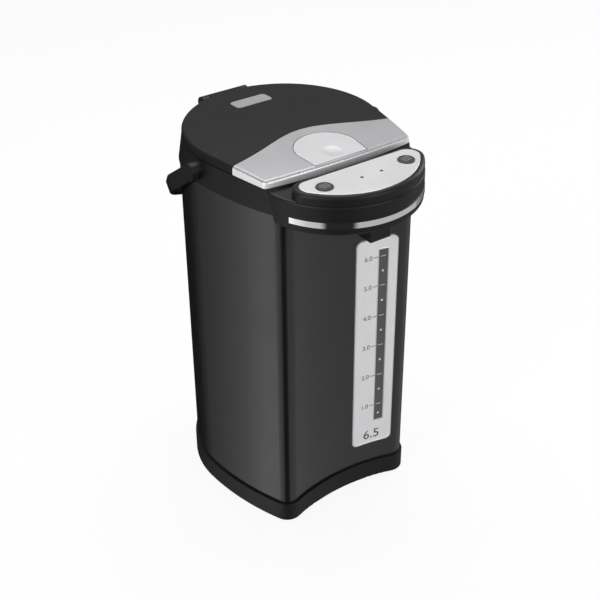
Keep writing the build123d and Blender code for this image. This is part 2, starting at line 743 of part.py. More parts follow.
# ================================================================ collar and head
with BuildSketch() as cover_plan:
    with Locations((0, head_y)):
        Circle(head_radius - cover_inset)
    with Locations((0, cover_back + head_radius)):
        Rectangle(3 * head_radius, 2 * head_radius, mode=Mode.SUBTRACT)
    fillet(cover_plan.vertices(), cover_corner)
with BuildSketch() as panel_plan:
    with Locations((0, head_y)):
        Circle(panel_radius)
    with Locations((0, panel_back + panel_radius)):
        Rectangle(3 * panel_radius, 2 * panel_radius, mode=Mode.SUBTRACT)
    fillet(panel_plan.vertices(), panel_corner)
with BuildPart() as collar:
    with BuildSketch(level(shell_top)):
        add(grown(body_plan, collar_proud))
    with BuildSketch(level(collar_top)):
        add(grown(lid_plan, lid_proud))
    loft()
    # round head, standing out in front
    with BuildPart(mode=Mode.PRIVATE) as head:
        disc(head_radius, head_bottom, head_top, (0, head_y))
        fillet(head.edges().group_by(Axis.Z)[-1], head_edge)
        fillet(head.edges().group_by(Axis.Z)[0], head_lower_edge)
        block(3 * head_radius, 2 * head_radius, head_bottom, head_top,
              (0, head_back + head_radius), Mode.SUBTRACT)
        with BuildSketch(side(-2 * head_radius)):
            with BuildLine():
                edge = skirt_back - skirt_round
                Line((edge, spout_bottom), (edge, head_bottom))
                ThreePointArc((edge, head_bottom),
                              (edge + skirt_round * sin(radians(45)),
                               head_bottom + skirt_round * (1 - cos(radians(45)))),
                              (skirt_back, head_bottom + skirt_round))
                Polyline((skirt_back, head_bottom + skirt_round), (skirt_back, shell_top),
                         (0, shell_top), (0, spout_bottom), (edge, spout_bottom))
            make_face()
        extrude(amount=4 * head_radius, mode=Mode.SUBTRACT)
        slab(body_plan, spout_bottom, shell_top, fit_gap, Mode.SUBTRACT)
    add(head.part)
    # hollow underneath, deck on top
    with BuildSketch(level(shell_top)):
        add(grown(body_plan, collar_proud - collar_wall))
    with BuildSketch(level(collar_top - deck)):
        add(grown(lid_plan, lid_proud - collar_wall))
    loft(mode=Mode.SUBTRACT)
    with BuildPart(mode=Mode.PRIVATE) as hollow:
        disc(head_radius - head_wall, floor_top, head_top - deck, (0, head_y))
        block(3 * head_radius, 2 * head_radius, floor_top, head_top,
              (0, head_back - head_wall + head_radius), Mode.SUBTRACT)
        slab(cover_plan.sketch, head_top - deck, head_top, -cover_ledge)
    add(hollow.part, mode=Mode.SUBTRACT)
    # throat, its flange on the pot and the lip inside the body sheet
    disc(throat_radius + throat_wall, seal_top, collar_top)
    disc(rim_radius, seal_top, seal_top + throat_wall)
    with BuildPart(mode=Mode.PRIVATE) as lip:
        slab(body_plan, seal_top, shell_top + lip_root, -steel - run_clear)
        slab(body_plan, seal_top, shell_top + lip_root, -steel - run_clear - lip_wall,
             Mode.SUBTRACT)
        block(4 * body_radius, 2 * body_radius, seal_top, shell_top + lip_root,
              (0, lip_front - body_radius), Mode.SUBTRACT)
    add(lip.part)
    disc(throat_radius, seal_top, collar_top, mode=Mode.SUBTRACT)
    with BuildSketch(level(floor_top)):
        with Locations((0, board_y)):
            with GridLocations(2 * board_posts[0], 2 * board_posts[1], 2, 2):
                Circle(post_radius)
    extrude(amount=board_top - floor_top)
    disc(nozzle_radius + fit_gap, head_bottom, floor_top, (0, nozzle_y), Mode.SUBTRACT)
    # catch slot for the lid's latch
    block(2 * (hook_half + catch_side), catch_back - catch_front, collar_top - deck, collar_top,
          (0, (catch_front + catch_back) / 2), Mode.SUBTRACT)
    # groove for the bright strip
    with BuildPart(mode=Mode.PRIVATE) as groove:
        disc(head_radius + trim_proud, trim_low, trim_high, (0, head_y))
        disc(head_radius - trim_sunk, trim_low, trim_high, (0, head_y), Mode.SUBTRACT)
        block(4 * head_radius, 2 * head_radius, trim_low, trim_high,
              (0, trim_back + head_radius), Mode.SUBTRACT)
    add(groove.part, mode=Mode.SUBTRACT)
    # bail bosses
    for sign in (-1, 1):
        rod(boss_radius, sign * boss_root, sign * boss_end, bail_y, bail_z)
        rod(pivot_radius + run_clear, sign * pivot_root, sign * boss_end, bail_y, bail_z,
            Mode.SUBTRACT)
    # hinge ears at the back
    for sign in (-1, 1):
        ear_inner = sign * (lug_half + ear_gap)
        with BuildSketch(side(ear_inner)):
            with Locations((hinge_y, hinge_z)):
                Circle(hinge_radius)
            with BuildLine():
                Polyline((hinge_y + hinge_radius, hinge_z), (hinge_y + hinge_radius, ear_low),
                         (body_radius, shell_top + fit_gap), (ear_root, shell_top + ear_rise),
                         (ear_root, collar_top - deck), (hinge_y - hinge_radius, hinge_z),
                         close=True)
            make_face()
        extrude(amount=sign * (hinge_half - lug_half - ear_gap))
        rod(hinge_pin_radius, ear_inner, sign * hinge_half, hinge_y, hinge_z, Mode.SUBTRACT)
finish(collar, "collar")

# ================================================================ head cover, panel and buttons
with BuildPart() as head_cover:
    slab(cover_plan.sketch, head_top, cover_top)
    fillet(head_cover.faces().sort_by(Axis.Z)[-1].edges(), cover_edge)
    slab(cover_plan.sketch, head_top, cover_top - cover_wall, -cover_wall, Mode.SUBTRACT)
    slab(panel_plan.sketch, panel_low, cover_top, fit_gap, Mode.SUBTRACT)
    for sign in (-1, 1):
        disc(button_radius + fit_gap, head_top, cover_top, (sign * button_x, button_y), Mode.SUBTRACT)
        disc(lamp_radius + lamp_gap, head_top, cover_top, (lamp_middle + sign * lamp_spread, lamp_y), Mode.SUBTRACT)
finish(head_cover, "head_cover")

with BuildPart() as control_panel:
    slab(panel_plan.sketch, panel_low, panel_top)
    fillet(control_panel.faces().sort_by(Axis.Z)[-1].edges(), panel_edge)
    for sign in (-1, 1):
        disc(button_radius + fit_gap, panel_low, panel_top, (sign * button_x, button_y), Mode.SUBTRACT)
        disc(lamp_radius + lamp_gap, panel_low, panel_top, (lamp_middle + sign * lamp_spread, lamp_y), Mode.SUBTRACT)
finish(control_panel, "control_panel")

with BuildPart() as head_trim:
    disc(head_radius + trim_proud, trim_low, trim_high, (0, head_y))
    disc(head_radius - trim_sunk, trim_low, trim_high, (0, head_y), Mode.SUBTRACT)
    block(4 * head_radius, 2 * head_radius, trim_low, trim_high,
          (0, trim_back + head_radius), Mode.SUBTRACT)
finish(head_trim, "head_trim")

for sign, use in ((-1, "boil"), (1, "dispense")):
    at = (sign * button_x, button_y)
    with BuildPart() as button:
        disc(button_radius, rim_top, panel_top + button_rise, at)
        fillet(button.faces().sort_by(Axis.Z)[-1].edges(), button_edge)
        disc(button_radius + button_collar, rim_low, rim_top, at)
        disc(button_stem, switch_top + button_travel + fit_gap, rim_low, at)
    finish(button, f"{use}_button")
    with BuildPart() as pad:
        with BuildSketch(side(at[0])):
            with BuildLine():
                Polyline((at[1] + pad_top - pad_wall, rim_low), (at[1] + pad_top, rim_low),
                         (at[1] + pad_base, board_high), (at[1] + pad_base - pad_wall, board_high),
                         close=True)
            make_face()
        revolve(axis=Axis((at[0], body_y + at[1], 0), (0, 0, 1)))
    finish(pad, f"{use}_button_spring")

for sign, use in ((-1, "boil"), (1, "warm")):
    with BuildPart() as lamp:
        disc(lamp_radius, board_high, panel_top + lamp_rise, (lamp_middle + sign * lamp_spread, lamp_y))
        fillet(lamp.faces().sort_by(Axis.Z)[-1].edges(), lamp_rise)
    finish(lamp, f"{use}_lamp")

with BuildPart() as control_board:
    block(*board_size, board_top, board_high, (0, board_y))
    for sign in (-1, 1):
        disc(switch_radius, board_high, switch_top, (sign * button_x, button_y))
    for size_x, size_y, height, x, y in chips:
        block(size_x, size_y, board_high, board_high + height, (x, board_y + y))
finish(control_board, "control_board")

# ================================================================ spout
with BuildPart() as spout_cover:
    middle = (spout_front + spout_back) / 2
    block(2 * spout_half, spout_back - spout_front, spout_bottom, head_bottom, (0, middle))
    fillet(spout_cover.edges().filter_by(Axis.Z), spout_round)
    block(2 * (spout_half - spout_wall), spout_back - spout_front - 2 * spout_wall,
          spout_bottom, head_bottom - spout_wall, (0, middle), Mode.SUBTRACT)
    disc(nozzle_radius + fit_gap, spout_bottom, head_bottom, (0, nozzle_y), Mode.SUBTRACT)
finish(spout_cover, "spout_cover")

with BuildPart() as spout_nozzle:
    disc(nozzle_radius, nozzle_bottom, floor_top, (0, nozzle_y))
    disc(nozzle_radius + nozzle_brim, floor_top, floor_top + nozzle_flange, (0, nozzle_y))
    disc(nozzle_bore, nozzle_bottom, floor_top - nozzle_seat, (0, nozzle_y), Mode.SUBTRACT)
    disc(spigot_bore, nozzle_bottom, floor_top + nozzle_flange, (0, nozzle_y), Mode.SUBTRACT)
    chamfer(spout_nozzle.edges().filter_by(GeomType.CIRCLE).group_by(Axis.Z)[0], nozzle_edge)
finish(spout_nozzle, "spout_nozzle")

# ================================================================ electrics in the base
with BuildPart() as power_board:
    block(*pcb_size, pcb_z, pcb_top, pcb_at)
    for size, place in ((relay_size, relay_at), (coil_size, coil_at)):
        block(size[0], size[1], pcb_top, pcb_top + size[2],
              (pcb_at[0] + place[0], pcb_at[1] + place[1]))
    for radius, height, x, y in cans:
        disc(radius, pcb_top, pcb_top + height, (pcb_at[0] + x, pcb_at[1] + y))
finish(power_board, "power_board")

with BuildPart() as power_inlet:
    block(2 * inlet_half_x - 2 * fit_gap, inlet_depth, inlet_low + fit_gap, inlet_high - fit_gap,
          (0, inlet_back - inlet_depth / 2))
    fillet(power_inlet.edges().filter_by(Axis.Y), inlet_round)
    block(2 * (inlet_half_x - inlet_wall), inlet_depth - inlet_wall, inlet_low + inlet_wall,
          inlet_high - inlet_wall, (0, inlet_back - (inlet_depth - inlet_wall) / 2), Mode.SUBTRACT)
    with BuildSketch(front(inlet_back)):
        with Locations((0, inlet_middle)):
            with Locations(*pins_at):
                Circle(pin_radius)
    extrude(amount=inlet_depth, mode=Mode.SUBTRACT)
finish(power_inlet, "power_inlet")

with BuildPart() as inlet_pins:
    with BuildSketch(front(inlet_floor_y - pin_tail)):
        with Locations((0, inlet_middle)):
            with Locations(*pins_at):
                Circle(pin_radius)
    extrude(amount=-(pin_tail + inlet_wall + pin_length))
finish(inlet_pins, "inlet_pins")

# ================================================================ lid
def wave_plan(gap=0.0):
    """Everything in front of the wavy line that parts the bright band from the black lid."""
    with BuildSketch() as plan:
        with BuildLine():
            crest = Spline((-body_width, wave_end_y - gap), (-wave_mid_x, wave_mid_y - gap),
                           (0, wave_crest_y - gap), (wave_mid_x, wave_mid_y - gap),
                           (body_width, wave_end_y - gap), tangents=[(1, 0), (1, 0)])
            Polyline(crest @ 1, (body_width, -body_width), (-body_width, -body_width), crest @ 0)
        make_face()
    return plan.sketch


def lever_plan(gap=0.0):
    """Outline of the release lever: round at the back and straight at the front."""
    with BuildSketch() as plan:
        with BuildLine():
            ThreePointArc((lever_half - gap, lever_side_y), (0, lever_back - gap),
                          (-lever_half + gap, lever_side_y))
            Polyline((-lever_half + gap, lever_side_y), (-lever_front_half + gap, lever_front + gap),
                     (lever_front_half - gap, lever_front + gap), (lever_half - gap, lever_side_y))
        make_face()
    return plan.sketch


def badge_plan(gap=0.0):
    """Outline of the badge on the lid."""
    with BuildSketch() as plan:
        with Locations((0, badge_y)):
            RectangleRounded(2 * (badge_half_x + gap), 2 * (badge_half_y + gap), badge_round)
    return plan.sketch


def crown(drop=0.0, mode=Mode.INTERSECT):
    """The lid's gently domed top, as a sphere, lowered by drop."""
    with Locations((0, body_y, dome_centre)):
        Sphere(lid_sphere - drop, mode=mode)


with BuildPart() as lid_dome:
    slab(lid_plan, lid_bottom, lid_crown)
    crown()
    fillet(lid_dome.faces().filter_by(GeomType.SPHERE).edges(), lid_edge)
with BuildPart() as lid_hollow:
    slab(lid_plan, lid_bottom, lid_crown, -lid_wall)
    crown(lid_wall)

with BuildPart() as lid_shell:
    add(lid_dome.part)
    add(lid_hollow.part, mode=Mode.SUBTRACT)
    slab(wave_plan(), lid_bottom, lid_crown, mode=Mode.SUBTRACT)
    with BuildPart(mode=Mode.PRIVATE) as badge_bed:
        slab(badge_plan(badge_gap), lid_bottom, lid_crown + badge_sheet)
        crown(badge_sunk, Mode.SUBTRACT)
    add(badge_bed.part, mode=Mode.SUBTRACT)
    with BuildSketch(side(-lug_half)):
        with Locations((hinge_y, hinge_z)):
            Circle(hinge_radius)
        with BuildLine():
            Polyline((lid_radius - lid_wall, lid_bottom), (lid_radius - lid_wall, tab_high),
                     (hinge_y, hinge_z + hinge_radius), (hinge_y, lid_bottom), close=True)
        make_face()
    extrude(amount=2 * lug_half)
    rod(hinge_pin_radius + run_clear, -lug_half, lug_half, hinge_y, hinge_z, Mode.SUBTRACT)
finish(lid_shell, "lid_shell")

with BuildPart() as lid_band:
    add(lid_dome.part)
    add(lid_hollow.part, mode=Mode.SUBTRACT)
    slab(wave_plan(wave_gap), lid_bottom, lid_crown, mode=Mode.INTERSECT)
    slab(lever_plan(), lid_bottom, lid_crown, mode=Mode.SUBTRACT)
finish(lid_band, "lid_band")

with BuildPart() as lid_chassis:
    slab(lid_plan, chassis_low, chassis_top, -lid_wall - fit_gap)
    disc(plug_radius, plug_bottom, chassis_low)
    disc(plug_radius - plug_wall, plug_bottom + plug_wall, chassis_low, mode=Mode.SUBTRACT)
    block(2 * (hook_half + hook_play), hook_back - hook_front + bolt_travel + 2 * hook_play,
          chassis_low, chassis_top, (0, (hook_front + hook_back + bolt_travel) / 2), Mode.SUBTRACT)
    for sign in (-1, 1):
        block(lug_width, lug_depth, chassis_top, lever_pin_z + lug_rise,
              (sign * (lever_pin_half - lug_width / 2), lever_pin_y))
        block(rail_width, rail_length, chassis_top, bolt_low + bolt_sheet,
              (sign * (hook_half + run_clear + rail_width / 2), rail_y))
    rod(lever_pin_radius, -lever_pin_half, lever_pin_half, lever_pin_y, lever_pin_z, Mode.SUBTRACT)
    block(leg_width, stop_sheet, chassis_top, spring_z + spring_radius,
          (0, spring_end + stop_sheet / 2))
finish(lid_chassis, "lid_chassis")

with BuildPart() as lid_liner:
    disc(liner_outer, plug_bottom - liner_sheet, plug_bottom + liner_lift)
    fillet(lid_liner.faces().sort_by(Axis.Z)[0].edges(), liner_sheet - run_clear)
    disc(liner_outer - liner_sheet, plug_bottom, plug_bottom + liner_lift, mode=Mode.SUBTRACT)
finish(lid_liner, "lid_liner")

with BuildPart() as lid_seal:
    inner = liner_outer + run_clear
    with BuildSketch(side()):
        with BuildLine():
            Polyline((inner, seal_low), (seal_reach, seal_low + seal_slope),
                     (seal_reach, seal_low + 2 * seal_slope), (inner + seal_wall, seal_low + seal_size / 2),
                     (inner + seal_wall, seal_low + seal_size), (inner, seal_low + seal_size),
                     close=True)
        make_face()
    revolve(axis=Axis((0, body_y, 0), (0, 0, 1)))
finish(lid_seal, "lid_seal")

with BuildPart() as lid_badge:
    slab(badge_plan(), lid_bottom, lid_crown + badge_sheet)
    crown(badge_sunk - badge_sheet)
    crown(badge_sunk, Mode.SUBTRACT)
finish(lid_badge, "lid_badge")

with BuildPart() as release_lever:
    add(lid_dome.part)
    crown(lever_wall, Mode.SUBTRACT)
    slab(lever_plan(lever_gap), lid_bottom, lid_crown, mode=Mode.INTERSECT)
    ball = (dimple_radius ** 2 + dimple_depth ** 2) / (2 * dimple_depth)
    with Locations((0, body_y + dimple_y, dimple_surface + ball - dimple_depth)):
        Sphere(ball, mode=Mode.SUBTRACT)
    barrel_half = lever_pin_half - lug_width - ear_gap
    rod(lever_barrel, -barrel_half, barrel_half, lever_pin_y, lever_pin_z)
    rod(lever_pin_radius + run_clear, -lever_pin_half, lever_pin_half, lever_pin_y, lever_pin_z,
        Mode.SUBTRACT)
    block(leg_width, lever_leg[1] - lever_leg[0], leg_low, dimple_surface - lever_wall,
          (0, sum(lever_leg) / 2))
finish(release_lever, "release_lever")

with BuildPart() as lever_pin:
    rod(lever_pin_radius, -lever_pin_half, lever_pin_half, lever_pin_y, lever_pin_z)
finish(lever_pin, "lever_pin")

with BuildPart() as latch_bolt:
    block(2 * hook_half, bolt_back - hook_front, bolt_low, bolt_top,
          (0, (hook_front + bolt_back) / 2))
    block(2 * hook_half, hook_thick, hook_bottom, bolt_low, (0, (hook_front + hook_back) / 2))
    block(leg_width, stop_sheet, bolt_low, spring_z + spring_radius,
          (0, bolt_back - stop_sheet / 2))
    # ramp that the lever's leg slides down on, which draws the hook back
    with BuildSketch(side(-cam_width / 2)):
        with BuildLine():
            Polyline((cam_foot, bolt_top), (lever_leg[1], cam_top), (cam_back, cam_top),
                     (cam_back, bolt_top), close=True)
        make_face()
    extrude(amount=cam_width)
finish(latch_bolt, "latch_bolt")

with BuildPart() as latch_spring:
    start = Vector(0, body_y + bolt_back + run_clear + spring_wire, spring_z)
    coils = spring_length - 2 * (run_clear + spring_wire)
    with BuildLine() as coil:
        Helix(pitch=coils / spring_turns, height=coils, radius=spring_radius, center=start,
              direction=(0, 1, 0))
    with BuildSketch(Plane(origin=coil.line @ 0, z_dir=coil.line % 0)):
        Circle(spring_wire)
    sweep(path=coil.line)
finish(latch_spring, "latch_spring")

with BuildPart() as hinge_pin:
    rod(hinge_pin_radius, -hinge_half, hinge_half, hinge_y, hinge_z)
finish(hinge_pin, "hinge_pin")

# ================================================================ carrying bail
bail_plane = Plane(origin=(0, body_y + bail_y, bail_z), x_dir=(1, 0, 0),
                   z_dir=(0, droop_sin, droop_cos))
with BuildPart() as carry_bail:
    with BuildSketch(bail_plane.offset(-half_width)) as bow:
        with BuildLine() as centre_line:
            FilletPolyline((-arm_x, 0), (-arm_x, bail_elbow_v),
                           (-bail_shoulder[0], bail_shoulder[1]), (-bail_grip_x, grip_v),
                           (bail_grip_x, grip_v), (bail_shoulder[0], bail_shoulder[1]),
                           (arm_x, bail_elbow_v), (arm_x, 0), radius=bail_bends)
        trace(line_width=bail_thick)
    extrude(amount=bail_width)
    fillet(carry_bail.faces().filter_by(lambda f: abs(f.normal_at().dot(bail_plane.z_dir)) > 0.99)
           .edges(), bail_edge)
    for sign in (-1, 1):
        rod(boss_radius, sign * (boss_end + fit_gap), sign * bail_outer, bail_y, bail_z)
        rod(pivot_radius + run_clear, sign * boss_end, sign * (pivot_end + run_clear),
            bail_y, bail_z, Mode.SUBTRACT)
finish(carry_bail, "carry_bail")

with BuildPart() as bail_pivots:
    for sign in (-1, 1):
        rod(pivot_radius, sign * pivot_root, sign * pivot_end, bail_y, bail_z)
finish(bail_pivots, "bail_pivots")
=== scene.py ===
"""Looks of an electric thermo pot: finishes for its moulded, painted and polished pieces, the
print on its level gauge, and the studio that it stands in. Metres, +Z up, the front faces -Y.
"""

import json
import math

import bmesh
import bpy
from mathutils import Matrix, Vector


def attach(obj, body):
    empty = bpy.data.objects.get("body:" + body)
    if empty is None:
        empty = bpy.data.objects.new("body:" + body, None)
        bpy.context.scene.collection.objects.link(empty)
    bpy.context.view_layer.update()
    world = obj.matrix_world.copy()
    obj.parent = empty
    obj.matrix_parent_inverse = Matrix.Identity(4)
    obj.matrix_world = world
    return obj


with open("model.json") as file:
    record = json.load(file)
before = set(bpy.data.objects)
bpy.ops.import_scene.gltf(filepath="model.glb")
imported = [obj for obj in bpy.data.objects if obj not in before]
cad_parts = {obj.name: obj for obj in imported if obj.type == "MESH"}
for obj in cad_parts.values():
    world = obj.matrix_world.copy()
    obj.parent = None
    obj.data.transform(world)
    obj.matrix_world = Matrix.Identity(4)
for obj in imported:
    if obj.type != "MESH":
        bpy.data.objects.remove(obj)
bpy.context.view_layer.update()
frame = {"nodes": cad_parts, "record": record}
scene = bpy.context.scene
MM = 0.001
POT_Y = 25.233 * MM              # axis of the round water pot
BODY_MIDDLE = (0, 0, 0.25)
LID_MIDDLE = (0, 0, 0.35)

LENS, SENSOR = 71.87, 36         # millimetres, as Blender counts lenses
EYE = (-0.58190, POT_Y - 0.86404, 0.85839)


# ------------------------------------------------------------------ studio
def camera():
    """The camera, in front of the left corner and above the lid."""
    lens = bpy.data.cameras.new("camera")
    lens.lens, lens.sensor_width = LENS, SENSOR
    lens.clip_start, lens.clip_end = 0.05, 60
    right = Vector((0.81891, -0.57389, -0.00665))
    up = Vector((0.31594, 0.44109, 0.84001))
    ahead = Vector((0.47914, 0.68999, -0.54253))
    eye = bpy.data.objects.new("camera", lens)
    eye.matrix_world = Matrix.Translation(EYE) @ Matrix((right, up, -ahead)).transposed().to_4x4()
    scene.collection.objects.link(eye)
    scene.camera = eye


def lamp(name, place, aim, width, height, watts):
    """A softbox at a place, turned to what it lights."""
    light = bpy.data.lights.new(name, "AREA")
    light.shape = "RECTANGLE"
    light.size, light.size_y = width, height
    light.energy = watts
    box = bpy.data.objects.new(name, light)
    box.location = place
    box.rotation_mode = "QUATERNION"
    box.rotation_quaternion = (Vector(aim) - Vector(place)).to_track_quat("-Z", "Y")
    scene.collection.objects.link(box)


camera()
lamp("left_softbox", (-1.7, -0.5, 0.9), BODY_MIDDLE, 0.5, 1.5, 16)
lamp("front_softbox", (0.5, -1.9, 1.0), BODY_MIDDLE, 0.9, 1.2, 14)
lamp("top_softbox", (0.2, 0.5, 1.9), LID_MIDDLE, 1.5, 1.2, 26)
lamp("right_softbox", (1.7, 0.1, 0.8), BODY_MIDDLE, 0.6, 1.4, 10)
scene.view_settings.view_transform = "Standard"


# ------------------------------------------------------------------ shader tools
def node(tree, kind, **settings):
    """A shader node; settings that name a socket are written to it, the rest to the node."""
    made = tree.nodes.new(kind)
    for name, value in settings.items():
        socket = made.inputs.get(name.replace("_", " ").title())
        if socket is not None:
            socket.default_value = value
        else:
            setattr(made, name, value)
    return made


def socket(tree, name, kind, default=None, going="INPUT"):
    """A named input or output of an effect."""
    made = tree.interface.new_socket(name, in_out=going, socket_type=kind)
    if default is not None:
        made.default_value = default


def effect(name, inputs, outputs):
    """An empty node group with its sockets, its input node and its output node."""
    tree = bpy.data.node_groups.new(name, "ShaderNodeTree")
    for label, kind, default in inputs:
        socket(tree, label, kind, default)
    for label, kind in outputs:
        socket(tree, label, kind, going="OUTPUT")
    return tree, tree.nodes.new("NodeGroupInput"), tree.nodes.new("NodeGroupOutput")


def object_coordinates(tree):
    """A place on the part in metres, measured from the shared origin."""
    return tree.nodes.new("ShaderNodeTexCoord").outputs["Object"]


def give(tree, value, place):
    """Sets an input to a plain value, or links an output to it."""
    if isinstance(value, bpy.types.NodeSocket):
        tree.links.new(value, place)
    else:
        place.default_value = value


def maths(tree, operation, *values):
    """One step of arithmetic on numbers and outputs."""
    made = node(tree, "ShaderNodeMath", operation=operation)
    for value, place in zip(values, made.inputs):
        give(tree, value, place)
    return made.outputs[0]


def axes(tree, vector):
    """The three parts of a vector, by name."""
    made = tree.nodes.new("ShaderNodeSeparateXYZ")
    tree.links.new(vector, made.inputs[0])
    return made.outputs


def noise(tree, vector, scale, detail=2.0):
    """A noise texture on a vector; the scale is a number or an output that gives one."""
    made = node(tree, "ShaderNodeTexNoise", Detail=detail)
    tree.links.new(vector, made.inputs["Vector"])
    give(tree, scale, made.inputs["Scale"])
    return made.outputs["Fac"]


def spread(tree, value, low, high):
    """The middle of a noise spread between two values, numbers or outputs."""
    made = node(tree, "ShaderNodeMapRange", clamp=True, From_Min=0.3, From_Max=0.7)
    tree.links.new(value, made.inputs["Value"])
    give(tree, low, made.inputs["To Min"])
    give(tree, high, made.inputs["To Max"])
    return made.outputs["Result"]


def mixed(tree, fac, first, second):
    """Two colours mixed by a factor; each is a colour or an output."""
    made = node(tree, "ShaderNodeMix", data_type="RGBA")
    tree.links.new(fac, made.inputs["Factor"])
    for name, colour in (("A", first), ("B", second)):
        place = next(s for s in made.inputs if s.name == name and s.type == "RGBA")
        give(tree, colour if isinstance(colour, bpy.types.NodeSocket) else (*colour, 1), place)
    return next(s for s in made.outputs if s.type == "RGBA")


# ------------------------------------------------------------------ effects
SHADE_SCALE = 14.0               # patches of lighter and darker plastic
WIPE_SCALE, SMEAR_SCALE = 6.0, 32.0
GROOVE_HALF = 34 * MM            # the lever's groove ends inside this half width
GROOVE_FRONT = -69 * MM
STEEP = 0.5                      # an upright face's normal rises or falls less than this


def make_moulding_grain():
    """The fine spark-eroded grain of moulded plastic and its slow change of shade."""
    tree, given, out = effect("moulding_grain", [("Scale", "NodeSocketFloat", 1400.0)],
                              [("Height", "NodeSocketFloat"), ("Shade", "NodeSocketFloat")])
    place = object_coordinates(tree)
    tree.links.new(noise(tree, place, given.outputs["Scale"], 3), out.inputs["Height"])
    tree.links.new(spread(tree, noise(tree, place, SHADE_SCALE), 0.0, 1.0), out.inputs["Shade"])
    return tree


def make_handling():
    """The faint smears that wiping and handling leave in a surface's roughness."""
    tree, given, out = effect("handling", [("Clean", "NodeSocketFloat", 0.3),
                                           ("Smeared", "NodeSocketFloat", 0.4)],
                              [("Roughness", "NodeSocketFloat")])
    place = object_coordinates(tree)
    both = maths(tree, "MULTIPLY", noise(tree, place, WIPE_SCALE),
                 noise(tree, place, SMEAR_SCALE, 5))
    tree.links.new(spread(tree, maths(tree, "MULTIPLY", both, 2.0), given.outputs["Clean"],
                          given.outputs["Smeared"]), out.inputs["Roughness"])
    return tree


def make_paint_flakes():
    """Metal flakes in a paint: tiny specks, some lighter and some darker."""
    tree, given, out = effect("paint_flakes", [("Scale", "NodeSocketFloat", 2600.0),
                                               ("Dark", "NodeSocketColor", (0, 0, 0, 1)),
                                               ("Light", "NodeSocketColor", (1, 1, 1, 1))],
                              [("Color", "NodeSocketColor"), ("Height", "NodeSocketFloat")])
    place = object_coordinates(tree)
    speck = noise(tree, place, given.outputs["Scale"], 1)
    tree.links.new(mixed(tree, spread(tree, speck, 0.0, 1.0), given.outputs["Dark"],
                         given.outputs["Light"]), out.inputs["Color"])
    tree.links.new(speck, out.inputs["Height"])
    return tree


def make_brushing():
    """Long fine lines that a brushing belt leaves, drawn out by the stretch of each axis."""
    tree, given, out = effect("brushing", [("Stretch", "NodeSocketVector", (1, 1, 1)),
                                           ("Dark", "NodeSocketColor", (0, 0, 0, 1)),
                                           ("Light", "NodeSocketColor", (1, 1, 1, 1))],
                              [("Color", "NodeSocketColor"), ("Height", "NodeSocketFloat")])
    drawn = node(tree, "ShaderNodeVectorMath", operation="MULTIPLY")
    tree.links.new(object_coordinates(tree), drawn.inputs[0])
    tree.links.new(given.outputs["Stretch"], drawn.inputs[1])
    line = noise(tree, drawn.outputs["Vector"], 1.0, 4)
    tree.links.new(mixed(tree, spread(tree, line, 0.0, 1.0), given.outputs["Dark"],
                         given.outputs["Light"]), out.inputs["Color"])
    tree.links.new(line, out.inputs["Height"])
    return tree


def make_upright_faces():
    """Masks of the faces that stand upright in the room, for painted light and shade: the lever's
    groove, which is painted dark as shade, and the outside, which is painted light.

    They are true with the lid shut. The normal is the room's, so once the lid has swung up, its
    top counts as upright too.
    """
    tree, given, out = effect("upright_faces", [("Half Width", "NodeSocketFloat", GROOVE_HALF),
                                                ("Front", "NodeSocketFloat", GROOVE_FRONT)],
                              [("Groove", "NodeSocketFloat"), ("Outside", "NodeSocketFloat")])
    facing = axes(tree, tree.nodes.new("ShaderNodeNewGeometry").outputs["True Normal"])
    place = axes(tree, object_coordinates(tree))
    upright = maths(tree, "LESS_THAN", maths(tree, "ABSOLUTE", facing["Z"]), STEEP)
    middle = maths(tree, "LESS_THAN", maths(tree, "ABSOLUTE", place["X"]),
                   given.outputs["Half Width"])
    behind = maths(tree, "GREATER_THAN", place["Y"], given.outputs["Front"])
    groove = maths(tree, "MULTIPLY", maths(tree, "MULTIPLY", middle, behind), upright)
    tree.links.new(groove, out.inputs["Groove"])
    tree.links.new(maths(tree, "SUBTRACT", upright, groove), out.inputs["Outside"])
    return tree


moulding_grain = make_moulding_grain()
handling = make_handling()
paint_flakes = make_paint_flakes()
brushing = make_brushing()
upright_faces = make_upright_faces()


def placed(tree, group, **values):
    """An effect placed in a material with its own values."""
    made = tree.nodes.new("ShaderNodeGroup")
    made.node_tree = group
    for name, value in values.items():
        made.inputs[name].default_value = value
    return made


# ------------------------------------------------------------------ finishes
GRAIN_DEPTH, FLAKE_DEPTH, BRUSH_DEPTH = 0.12 * MM, 0.06 * MM, 0.05 * MM
FLAKE_STRENGTH = 0.12
# the upright outer sides get painted light; the walls of the lever's groove get painted shade
SIDE_PAINTED_LIGHT, GROOVE_PAINTED_SHADE = 0.86, 0.03


def grey(value):
    """A neutral grey with a touch of blue."""
    return (value, value, value * 1.02)


def finish_of(name, **sockets):
    """A new material, its tree and its Principled shader, with plain sockets set."""
    made = bpy.data.materials.new(name)
    made.use_nodes = True
    shader = made.node_tree.nodes["Principled BSDF"]
    for label, value in sockets.items():
        shader.inputs[label.replace("_", " ")].default_value = value
    return made, made.node_tree, shader


def bump(tree, shader, height, strength, depth):
    """Drives a shader's normal by a height that is so many metres deep."""
    made = node(tree, "ShaderNodeBump", Strength=strength, Distance=depth)
    tree.links.new(height, made.inputs["Height"])
    tree.links.new(made.outputs["Normal"], shader.inputs["Normal"])


def smeared(tree, shader, clean, dull):
    """Drives a shader's roughness between a clean and a dull value."""
    marks = placed(tree, handling, Clean=clean, Smeared=dull)
    tree.links.new(marks.outputs["Roughness"], shader.inputs["Roughness"])


